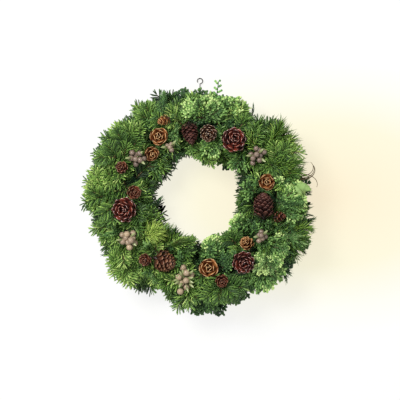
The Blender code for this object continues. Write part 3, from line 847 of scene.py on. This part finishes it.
# how a cone is put together, against its width or length: its core, the scales' thickness and the
# place of the widest, and the pick that carries it, in metres
coneBuild = {
    "core": 0.10, "widest": 0.58, "thick": 0.11, "jitter": 0.06, "openSway": 0.05, "top": 0.97,
    "spindle": (0.62, 0.30, 0.50), "pickFrom": 0.2, "pick": 0.0018, "pickDown": 0.01,
    "bodyAbove": 0.006, "middleAbove": 0.012,
}


def coneBody(points, middle, way):
    # how far the cone's body runs along a direction, leaving out the straight pick under it
    near = points[points[:, 2] > foamTop + coneBuild["bodyAbove"]] - np.array(middle)
    along = near @ np.array(way)
    return float(np.ptp(along[np.abs(along) > 0.0015]))


def coneAxis(node, lean, heading):
    points = cadPoints(node)
    body = points[points[:, 2] > foamTop + coneBuild["middleAbove"]]
    middle = Vector(((body.max(0) + body.min(0)) / 2).tolist())
    fromMiddle = middle - ringMiddle
    degrees = math.degrees(math.atan2(fromMiddle.y, fromMiddle.x))
    lean, heading = math.radians(lean), math.radians(heading)
    towards = risingWay(outwardAt(degrees), degrees, heading, 0)
    axis = Vector((0, 0, math.cos(lean))) + towards * math.sin(lean)
    across = Vector((0, 0, 1)).cross(towards)
    return middle, axis, across, coneBody(points, middle, across), coneBody(points, middle, axis)


def addCone(node, kind, lean, heading):
    look = coneKinds[kind]
    middle, axis, across, width, length = coneAxis(node, lean, heading)
    forward = axis.cross(across)
    foot = middle - axis * length / 2
    count = look["scales"]
    index = np.arange(count)
    share = (index + 0.5) / count
    turn = index * goldenAngle + chance.normal(0, coneBuild["jitter"], count)
    out = np.outer(np.cos(turn), across) + np.outer(np.sin(turn), forward)
    up = np.broadcast_to(np.array(axis), (count, 3))
    wideOpen, nearlyShut = look["open"]
    opening = np.radians(np.interp(share, [0, 0.5, 1], [wideOpen, wideOpen * 0.72, nearlyShut]))
    opening = opening + chance.normal(0, coneBuild["openSway"], count)
    swell = np.interp(share, [0, 0.25, 0.6, 1], look["swell"])
    core = width * coneBuild["core"] * np.interp(share, [0, 0.6, 1], [1.0, 0.9, 0.35])
    reach = width * look["long"] * swell
    # the widest scales end a little past the cone's own half width
    fit = width * coneBuild["widest"] / (core + reach * np.sin(opening)).max()
    core, reach = core * fit, reach * fit
    broad = width * look["broad"] * (0.35 + 0.65 * swell)
    tipRise = reach[-1] * math.cos(opening[-1])
    scalesOver = max(length * 0.5, length * coneBuild["top"] - tipRise)
    height = length * 0.03 + scalesOver * share ** 0.92
    base = np.array(foot) + up * height[:, None] + out * core[:, None]
    aim = up * np.cos(opening)[:, None] + out * np.sin(opening)[:, None]
    inner = up * np.sin(opening)[:, None] - out * np.cos(opening)[:, None]
    growth = Growth()
    growth.add("scale", base, aim, inner, reach, broad, width * coneBuild["thick"],
               chance.uniform(0.05, 0.95, count), look["curl"])
    long, wide, thick = coneBuild["spindle"]
    growth.add("finger", np.array(foot), axis, across, length * long, width * wide, width * thick, 0.1)
    pickTop = np.array(middle - axis * length * coneBuild["pickFrom"])
    pickFall = middle.z - foamTop + coneBuild["pickDown"]
    growth.add("stick", pickTop, -upright, across, pickFall, coneBuild["pick"], coneBuild["pick"], 0.02)
    cone = growth.mesh(node + "_scales")
    cone.data.materials.append(woods[kind + "ConeWood"])
    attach(cone, "root")
    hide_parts(node)
    decorations.append((np.array(middle), max(width, length * math.sin(math.radians(lean))) / 2))


for node, (kind, lean, heading) in coneFacing.items():
    addCone(node, kind, lean, heading)
print("cones grown")

# along is painted shade and light: each floret darker at its foot between the florets, and each round core
# darker at its bottom and paler on top
berryLooks = {
    "roughness": 0.34, "shine": 0.65, "mottle": 90,
    "tints": [(0.0, (0.26, 0.32, 0.12)), (0.06, (0.26, 0.30, 0.12)), (0.10, (0.078, 0.053, 0.042)),
              (0.5, (0.180, 0.128, 0.092)), (1.0, (0.38, 0.29, 0.175))],
    "along": [(0.0, (0.55, 0.5, 0.5)), (0.6, (0.95, 0.92, 0.92)), (1.0, (1.45, 1.42, 1.4))],
}
berrySkin = bladeMaterial("bruniaSkin", berryLooks)

# each sprig: how many heads, how wide one is in millimetres, and how light they are
berrySprigs = {
    "berries_left": {"count": 8, "berry": 10, "tint": 0.38, "leaves": 3},
    "berries_top_left": {"count": 4, "berry": 8.5, "tint": 0.55, "leaves": 2},
    "berries_right": {"count": 9, "berry": 9.5, "tint": 0.36, "leaves": 3},
    "berries_bottom_left": {"count": 10, "berry": 11, "tint": 0.74, "leaves": 3},
    "berries_bottom": {"count": 8, "berry": 11, "tint": 0.80, "leaves": 12},
    "berries_bottom_right": {"count": 6, "berry": 9, "tint": 0.48, "leaves": 2},
}


# how a head is put together, against its radius, and how thick the stalks are in metres
berryBuild = {
    "florets": 90, "sizes": (0.92, 1.04), "core": 0.95, "floretsAt": 0.76, "floret": 0.26,
    "tintSpread": 0.06, "floretSpread": 0.05, "stalk": 0.0022, "stem": 0.0024, "stemLong": 0.02,
    "headsAbove": 0.019, "forkAbove": 0.008, "rounds": 12,
    "leafLong": 0.014, "leafBroad": 0.0052, "leafOver": 0.004, "leafSpread": (0.5, 1.7), "leafTurn": 0.8,
}


def berryMiddles(node, count):
    # the CAD's round heads are its points above the stalks, gathered into as many groups
    points = cadPoints(node)
    heads = points[points[:, 2] > foamTop + berryBuild["headsAbove"]]
    seeds = [heads[np.argmax(heads[:, 2])]]
    while len(seeds) < count:
        away = np.min([np.linalg.norm(heads - seed, axis=1) for seed in seeds], axis=0)
        seeds.append(heads[np.argmax(away)])
    middles = np.array(seeds)
    for attempt in range(berryBuild["rounds"]):
        nearest = np.argmin(np.linalg.norm(heads[:, None] - middles[None], axis=2), axis=1)
        groups = [heads[nearest == group] for group in range(count)]
        middles = np.array([group.mean(0) if len(group) else old for group, old in zip(groups, middles)])
    return middles


def addBerries(node):
    look = berrySprigs[node]
    middles = berryMiddles(node, look["count"])
    growth = Growth()
    fork = middles.mean(0)
    fork[2] = foamTop + berryBuild["forkAbove"]
    florets = berryBuild["florets"]
    index = np.arange(florets) + 0.5
    height = 1 - 2 * index / florets
    ring = np.sqrt(1 - height ** 2)
    turn = index * goldenAngle
    out = np.stack([ring * np.cos(turn), ring * np.sin(turn), height], -1)
    thin = berryBuild["stalk"]
    for middle in middles:
        radius = look["berry"] / 2000 * chance.uniform(*berryBuild["sizes"])
        tint = look["tint"] + chance.normal(0, berryBuild["tintSpread"])
        shade = np.clip(tint + chance.normal(0, berryBuild["floretSpread"], florets), 0.12, 0.97)
        core, floret = radius * berryBuild["core"], radius * berryBuild["floret"]
        growth.add("ball", middle - upright * core, upright, (1, 0, 0), core * 2, core * 2, core * 2, tint)
        floretFeet = middle + out * radius * berryBuild["floretsAt"]
        growth.add("floret", floretFeet, out, stalkSide, floret, floret, floret, shade)
        stalk = middle - fork
        growth.add("stick", fork, stalk, stalkSide, np.linalg.norm(stalk), thin, thin, 0.02)
        decorations.append((middle, radius))
    for number in range(look["leaves"]):
        # pale green leaves that rise between the heads
        turn = number * goldenAngle + berryBuild["leafTurn"]
        spread = middles[:, :2].std(0).mean() * chance.uniform(*berryBuild["leafSpread"])
        rise = middles[:, 2].max() - fork[2] + berryBuild["leafOver"]
        way = np.array((math.cos(turn) * spread, math.sin(turn) * spread, rise))
        reach = np.linalg.norm(way)
        growth.add("stick", fork, way, stalkSide, reach * 0.8, thin, thin, 0.04)
        flat = (math.cos(turn) * 0.8, math.sin(turn) * 0.8, 0.6)
        long, broad = berryBuild["leafLong"], berryBuild["leafBroad"]
        growth.add("leaf", fork + way * 0.75, flat, upright, long, broad, long, 0.05, -0.1)
    stem = berryBuild["stem"]
    growth.add("stick", fork + upright * 0.001, -upright, (1, 0, 0), berryBuild["stemLong"], stem, stem, 0.02)
    sprig = growth.mesh(node + "_heads")
    sprig.data.materials.append(berrySkin)
    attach(sprig, "root")
    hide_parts(node)


for node in berrySprigs:
    addBerries(node)
print("berries grown")


# how far tips may go past the part, into the hole and above the top, how much of a cone or a berry is
# kept clear, and the painted shade and light by depth: how much tints fall deep among the sprigs and rise
# on top of them, from which height over the foam, over what depth, and the most they rise
outline = {
    "past": 0.010, "hole": 0.054, "above": 0.004, "cover": 0.98, "under": 0.7, "watched": (0.15, 0.5, 0.95),
    "shade": 0.20, "paintedShadeFrom": 0.008, "paintedShadeOver": 0.026, "paintedLightMost": 0.7,
}


def trimmed(growth):
    # drops the blades that would stab into a cone or a berry, hide it from in front, or reach past the
    # wreath's outline or far into its hole; painted shade darkens what lies deep among the sprigs, and
    # painted light makes what tops them paler
    kept = []
    for shape, base, along, side, face, length, width, thick, tint, bend in growth.batches:
        good = np.ones(len(base), bool)
        for share in outline["watched"]:
            at = base + along * (length * share)[:, None]
            for middle, radius in decorations:
                away = at - middle
                flat = np.hypot(away[:, 0], away[:, 1])
                good &= ~((flat < radius * outline["cover"]) & (away[:, 2] > -radius * outline["under"]))
        tip = base + along * length[:, None]
        flat = np.hypot(tip[:, 0] - ringMiddle.x, tip[:, 1] - ringMiddle.y)
        good &= (flat < cadReach + outline["past"]) & (flat > outline["hole"])
        good &= tip[:, 2] < cadHigh.z + outline["above"]
        if not good.any():
            continue
        # painted shade and light: each blade's tint falls with its tip's depth under the crest and rises
        # above it
        above = (tip[:, 2] - foamTop - outline["paintedShadeFrom"]) / outline["paintedShadeOver"]
        lift = np.clip(above, -1, outline["paintedLightMost"]) * outline["shade"]
        tint = np.where(tint > 0.12, np.clip(tint + lift, *tintRange), tint)
        values = (base, along, side, face, length, width, thick, tint, bend)
        kept.append((shape, *[value[good] for value in values]))
    growth.batches = kept


def joined(name, pieces):
    deselectAll()
    for piece in pieces:
        piece.select_set(True)
    bpy.context.view_layer.objects.active = pieces[0]
    if len(pieces) > 1:
        bpy.ops.object.join()
    piece = bpy.context.view_layer.objects.active
    piece.name = name
    return piece


def addBunch(node):
    points = cadPoints(node)
    row = node[len("bunch_"):-3]
    middle = points.mean(0) - np.array(ringMiddle)
    angle = math.degrees(math.atan2(middle[1], middle[0]))
    count = sum(name.startswith(f"bunch_{row}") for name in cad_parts)
    growths = {}
    bunchSprigs(growths, row, angle, 360 / count)
    if row == "outer_high":
        crestSprigs(growths, angle, 360 / count)
        accentSprigs(growths, angle, 360 / count)
    pieces = []
    for green, growth in growths.items():
        trimmed(growth)
        if growth.batches:
            part = growth.mesh(f"{node}_{green}", lowest=0.002)
            part.data.materials.append(greens[green])
            pieces.append(part)
    bunch = joined(node + "_sprigs", pieces)
    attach(bunch, "root")
    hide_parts(node)


for node in sorted(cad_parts):
    if node.startswith("bunch_"):
        addBunch(node)
print("greenery grown")


# foam, tray and wire keep their own solids, with better materials
solidLooks = {
    "foam": {
        "roughness": 0.95, "grain": (160, 6), "cells": 900, "bump": (0.6, 0.001),
        "colours": [(0.3, (0.012, 0.045, 0.016)), (0.7, (0.035, 0.105, 0.040))],
    },
    "tray": {
        "roughness": 0.42, "grain": (60, 8), "fine": 1400, "bump": (0.15, 0.0005),
        "colours": [(0.35, (0.010, 0.040, 0.018)), (0.65, (0.022, 0.070, 0.032))],
        "roughs": [(0.3, (0.34, 0.34, 0.34)), (0.7, (0.58, 0.58, 0.58))],
    },
    "wire": {
        "roughness": 0.5, "grain": (300, 6), "metallic": 0.8,
        "colours": [(0.35, (0.035, 0.034, 0.032)), (0.7, (0.12, 0.115, 0.105))],
    },
}


def grainOn(nodes, links, kind, scale, detail=None):
    # a noise or cell pattern on object coordinates
    place = nodes.new("ShaderNodeTexCoord")
    grain = nodes.new("ShaderNodeTex" + kind)
    grain.inputs["Scale"].default_value = scale
    if detail is not None:
        grain.inputs["Detail"].default_value = detail
    links.new(place.outputs["Object"], grain.inputs["Vector"])
    return grain


def rampTo(nodes, links, value, stops, socket):
    node = ramp(nodes, stops)
    links.new(value, node.inputs["Fac"])
    links.new(node.outputs["Color"], socket)


def bumpTo(nodes, links, height, looks, socket):
    bump = nodes.new("ShaderNodeBump")
    bump.inputs["Strength"].default_value, bump.inputs["Distance"].default_value = looks
    links.new(height, bump.inputs["Height"])
    links.new(bump.outputs["Normal"], socket)


def solidMaterial(name, looks):
    # mottled colour from one grain, and a second, finer one for the bumps
    material, nodes, links, shader = newMaterial(name, looks["roughness"])
    shader.inputs["Metallic"].default_value = looks.get("metallic", 0)
    grain = grainOn(nodes, links, "Noise", *looks["grain"]).outputs["Fac"]
    rampTo(nodes, links, grain, looks["colours"], shader.inputs["Base Color"])
    if "roughs" in looks:
        rampTo(nodes, links, grain, looks["roughs"], shader.inputs["Roughness"])
    if "cells" in looks:
        cells = grainOn(nodes, links, "Voronoi", looks["cells"]).outputs["Distance"]
        bumpTo(nodes, links, cells, looks["bump"], shader.inputs["Normal"])
    if "fine" in looks:
        fine = grainOn(nodes, links, "Noise", looks["fine"]).outputs["Fac"]
        bumpTo(nodes, links, fine, looks["bump"], shader.inputs["Normal"])
    return material


def finishNode(node, material):
    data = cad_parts[node].data
    data.materials.clear()
    data.materials.append(material)


finishNode("foam_ring", solidMaterial("wetFloralFoam", solidLooks["foam"]))
finishNode("tray", solidMaterial("mouldedTray", solidLooks["tray"]))
finishNode("hanging_wire", solidMaterial("annealedWire", solidLooks["wire"]))
print("foam, tray and wire finished")


# metres and watts; floorAndShadeColours run from the floor's plain pale far parts to the middle of a warm
# painted shade, a spot on the floor centred at the wreath's right edge and reaching over its hole
studio = {
    "floorSize": 6.0, "floorUnder": 0.0005, "view": 0.66, "away": 2.64, "focus": 2.6, "sensor": 36,
    "sky": 0.5, "floorGlow": 0.85, "floorRough": 0.9, "floorShine": 0.1,
    "lamps": {"key": (86, 1.1, (-1.3, 1.1, 2.2)), "fill": (8, 2.4, (1.6, -1.2, 1.8))},
    # the floor's own pale colour and a warm painted shade on it: its colours, where it sits and how far it
    # reaches
    "floorAndShadeColours": [(0.0, (0.98, 0.98, 0.97)), (0.2, (0.98, 0.97, 0.90)), (0.5, (0.965, 0.922, 0.720)),
                     (1.0, (0.975, 0.860, 0.640))],
    "paintedShadeAt": (0.20, 0.0), "paintedShadeSize": (0.40, 0.235),
}


def seenDirectly(nodes, links, amount):
    # how much of a glow shows: the amount to the camera, in mirrors and through glass, nothing elsewhere
    path = nodes.new("ShaderNodeLightPath")
    total = path.outputs["Is Camera Ray"]
    for ray in ("Is Glossy Ray", "Is Transmission Ray"):
        added = nodes.new("ShaderNodeMath")
        added.operation = "ADD"
        added.use_clamp = True
        links.new(total, added.inputs[0])
        links.new(path.outputs[ray], added.inputs[1])
        total = added.outputs[0]
    scaled = nodes.new("ShaderNodeMath")
    scaled.operation = "MULTIPLY"
    scaled.inputs[1].default_value = amount
    links.new(total, scaled.inputs[0])
    return scaled.outputs[0]


def addFloor():
    deselectAll()
    bpy.ops.mesh.primitive_plane_add(size=studio["floorSize"], location=(0, 0, -studio["floorUnder"]))
    floor = bpy.context.object
    floor.name = "floor"
    material, nodes, links, shader = newMaterial("paleFloor", studio["floorRough"])
    shader.inputs["Specular IOR Level"].default_value = studio["floorShine"]
    # painted shade: the floor's colour warms in a spot right of the wreath's middle and fades out to the
    # plain pale floor
    place = nodes.new("ShaderNodeTexCoord")
    shadeSpot = nodes.new("ShaderNodeMapping")
    shadeSpot.vector_type = "TEXTURE"
    shadeSpot.inputs["Location"].default_value = (*studio["paintedShadeAt"], 0)
    shadeSpot.inputs["Scale"].default_value = (*studio["paintedShadeSize"], 1)
    fade = nodes.new("ShaderNodeTexGradient")
    fade.gradient_type = "SPHERICAL"
    colour = ramp(nodes, studio["floorAndShadeColours"])
    links.new(place.outputs["Object"], shadeSpot.inputs["Vector"])
    links.new(shadeSpot.outputs["Vector"], fade.inputs["Vector"])
    links.new(fade.outputs["Fac"], colour.inputs["Fac"])
    links.new(colour.outputs["Color"], shader.inputs["Base Color"])
    glow = nodes.new("ShaderNodeEmission")
    links.new(colour.outputs["Color"], glow.inputs["Color"])
    blend = nodes.new("ShaderNodeMixShader")
    links.new(seenDirectly(nodes, links, studio["floorGlow"]), blend.inputs["Fac"])
    links.new(shader.outputs["BSDF"], blend.inputs[1])
    links.new(glow.outputs["Emission"], blend.inputs[2])
    links.new(blend.outputs["Shader"], nodes["Material Output"].inputs["Surface"])
    floor.data.materials.append(material)


def addLamp(name, power, size, place):
    lamp = bpy.data.lights.new(name, "AREA")
    lamp.energy = power
    lamp.size = size
    obj = bpy.data.objects.new(name, lamp)
    bpy.context.scene.collection.objects.link(obj)
    obj.location = place
    obj.rotation_euler = (ringMiddle - Vector(place)).to_track_quat("-Z", "Y").to_euler()


def addWorld():
    world = bpy.data.worlds.new("studio")
    world.use_nodes = True
    nodes, links = world.node_tree.nodes, world.node_tree.links
    light = nodes["Background"]
    light.inputs["Color"].default_value = (1, 1, 1, 1)
    light.inputs["Strength"].default_value = studio["sky"]
    wall = nodes.new("ShaderNodeBackground")
    wall.inputs["Color"].default_value = (*studio["floorAndShadeColours"][0][1], 1)
    blend = nodes.new("ShaderNodeMixShader")
    links.new(seenDirectly(nodes, links, 1.0), blend.inputs["Fac"])
    links.new(light.outputs["Background"], blend.inputs[1])
    links.new(wall.outputs["Background"], blend.inputs[2])
    links.new(blend.outputs["Shader"], nodes["World Output"].inputs["Surface"])
    bpy.context.scene.world = world


def addCamera():
    lens = bpy.data.cameras.new("camera")
    lens.sensor_width = studio["sensor"]
    lens.lens = studio["sensor"] * studio["focus"] / studio["view"]
    camera = bpy.data.objects.new("camera", lens)
    bpy.context.scene.collection.objects.link(camera)
    camera.location = ringMiddle + Vector((0, 0, studio["away"]))
    bpy.context.scene.camera = camera


addFloor()
for lampName, lampLooks in studio["lamps"].items():
    addLamp(lampName, *lampLooks)
addWorld()
addCamera()
bpy.context.scene.view_settings.view_transform = "Standard"
print("studio set")
